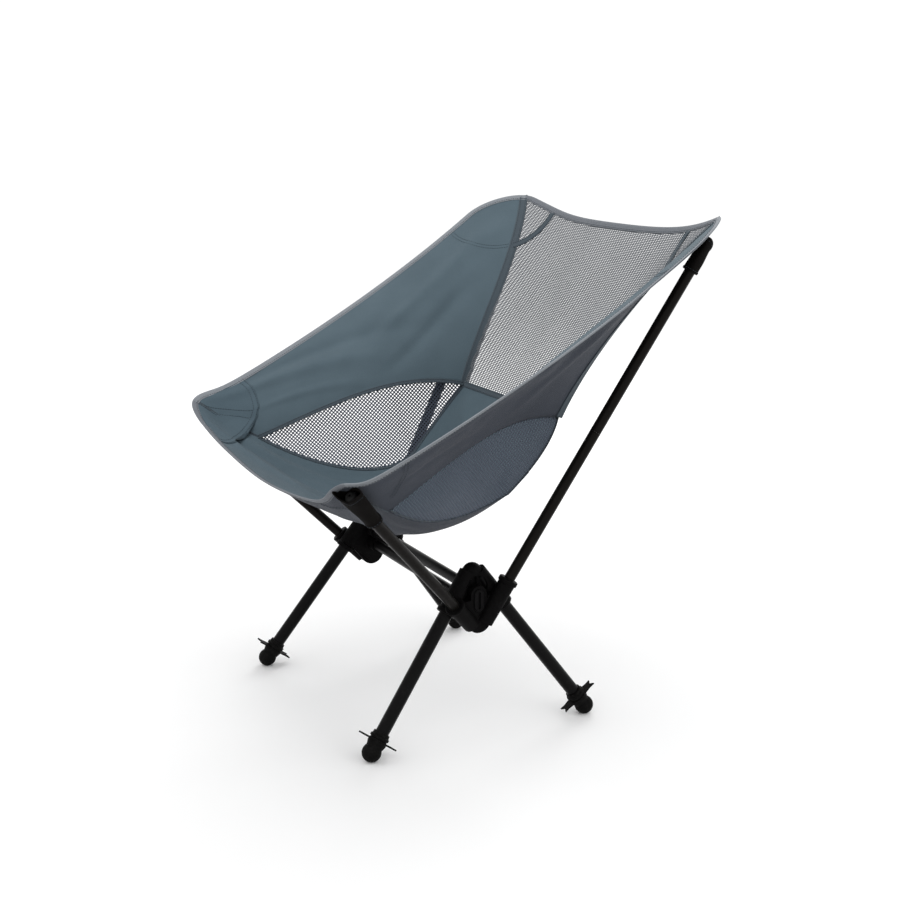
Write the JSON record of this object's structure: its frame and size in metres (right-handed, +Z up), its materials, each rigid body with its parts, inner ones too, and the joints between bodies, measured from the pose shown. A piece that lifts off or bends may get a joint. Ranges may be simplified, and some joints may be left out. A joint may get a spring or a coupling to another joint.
{
  "type": "camping chair",
  "caption": "Ultralight packable camping chair: fabric sling with mesh back and side windows on a shock-corded aluminium pole frame with splayed legs, moulded hubs and ball feet.",
  "frame": {"origin": "on the floor, under the middle of the whole chair", "axes": "+Z up, +X the sitter's left, the sitter faces -Y"},
  "size_m": [0.5482, 0.5241, 0.6473],
  "materials": {
    "hub_plastic": "fine moulded black",
    "cap_plastic": "satin black",
    "tube_black": "satin black anodised",
    "pole_black": "satin brownish black anodised",
    "ferrule_metal": "bare drawn tube",
    "foot_rubber": "matte black",
    "tip_plastic": "moulded black",
    "cord": "braided black sheath",
    "webbing": "black-brown ripstop and webbing",
    "fabric_solid": "slate blue-grey fine plain weave",
    "fabric_mesh": "open grey mesh",
    "binding": "grey folded ribbed tape"
  },
  "bodies": {
    "frame": {"hub_left": "hub_plastic", "hub_cap_left": "cap_plastic", "hub_leg_arm_front_left": "hub_plastic", "hub_leg_arm_rear_left": "hub_plastic", "hub_seat_arm_left": "hub_plastic", "hub_upright_arm_left": "hub_plastic", "hub_right": "hub_plastic", "hub_cap_right": "cap_plastic", "hub_leg_arm_front_right": "hub_plastic", "hub_leg_arm_rear_right": "hub_plastic", "hub_seat_arm_right": "hub_plastic", "hub_upright_arm_right": "hub_plastic", "cross_tube_upper": "tube_black", "cross_tube_lower": "tube_black", "seat_pole_left": "pole_black", "upright_lower_left": "pole_black", "upright_upper_left": "pole_black", "ferrule_left": "ferrule_metal", "seat_pole_tip_left": "tip_plastic", "upright_tip_left": "tip_plastic", "seat_pole_cord_left": "cord", "upright_cord_left": "cord", "corner_pocket_front_left": "webbing", "corner_pocket_back_left": "webbing", "side_panel_left": "fabric_solid", "side_mesh_left": "fabric_mesh", "side_tape_left": "binding", "seat_pole_right": "pole_black", "upright_lower_right": "pole_black", "upright_upper_right": "pole_black", "ferrule_right": "ferrule_metal", "seat_pole_tip_right": "tip_plastic", "upright_tip_right": "tip_plastic", "seat_pole_cord_right": "cord", "upright_cord_right": "cord", "corner_pocket_front_right": "webbing", "corner_pocket_back_right": "webbing", "side_panel_right": "fabric_solid", "side_mesh_right": "fabric_mesh", "side_tape_right": "binding", "seat_panel": "fabric_solid", "back_mesh": "fabric_mesh", "top_tape": "binding", "front_tape": "binding"},
    "leg_front_left": {"leg_tube_front_left": "tube_black", "foot_front_left": "foot_rubber", "leg_plug_front_left": "tip_plastic", "leg_cord_front_left": "cord"},
    "leg_front_right": {"leg_tube_front_right": "tube_black", "foot_front_right": "foot_rubber", "leg_plug_front_right": "tip_plastic", "leg_cord_front_right": "cord"},
    "leg_rear_left": {"leg_tube_rear_left": "tube_black", "foot_rear_left": "foot_rubber", "leg_plug_rear_left": "tip_plastic", "leg_cord_rear_left": "cord"},
    "leg_rear_right": {"leg_tube_rear_right": "tube_black", "foot_rear_right": "foot_rubber", "leg_plug_rear_right": "tip_plastic", "leg_cord_rear_right": "cord"}
  },
  "joints": [
    {"name": "leg_front_left_pull", "type": "slide", "parent": "frame", "child": "leg_front_left", "axis": [0.1077, -0.5953, -0.7963], "range_m": [0, 0.06], "stiffness_N_per_m": 80, "springref_m": -0.05, "deforming": ["leg_cord_front_left"]},
    {"name": "leg_front_right_pull", "type": "slide", "parent": "frame", "child": "leg_front_right", "axis": [-0.1077, -0.5953, -0.7963], "range_m": [0, 0.06], "stiffness_N_per_m": 80, "springref_m": -0.05, "deforming": ["leg_cord_front_right"]},
    {"name": "leg_rear_left_pull", "type": "slide", "parent": "frame", "child": "leg_rear_left", "axis": [0.1171, 0.5873, -0.8009], "range_m": [0, 0.06], "stiffness_N_per_m": 80, "springref_m": -0.05, "deforming": ["leg_cord_rear_left"]},
    {"name": "leg_rear_right_pull", "type": "slide", "parent": "frame", "child": "leg_rear_right", "axis": [-0.1171, 0.5873, -0.8009], "range_m": [0, 0.06], "stiffness_N_per_m": 80, "springref_m": -0.05, "deforming": ["leg_cord_rear_right"]}
  ]
}
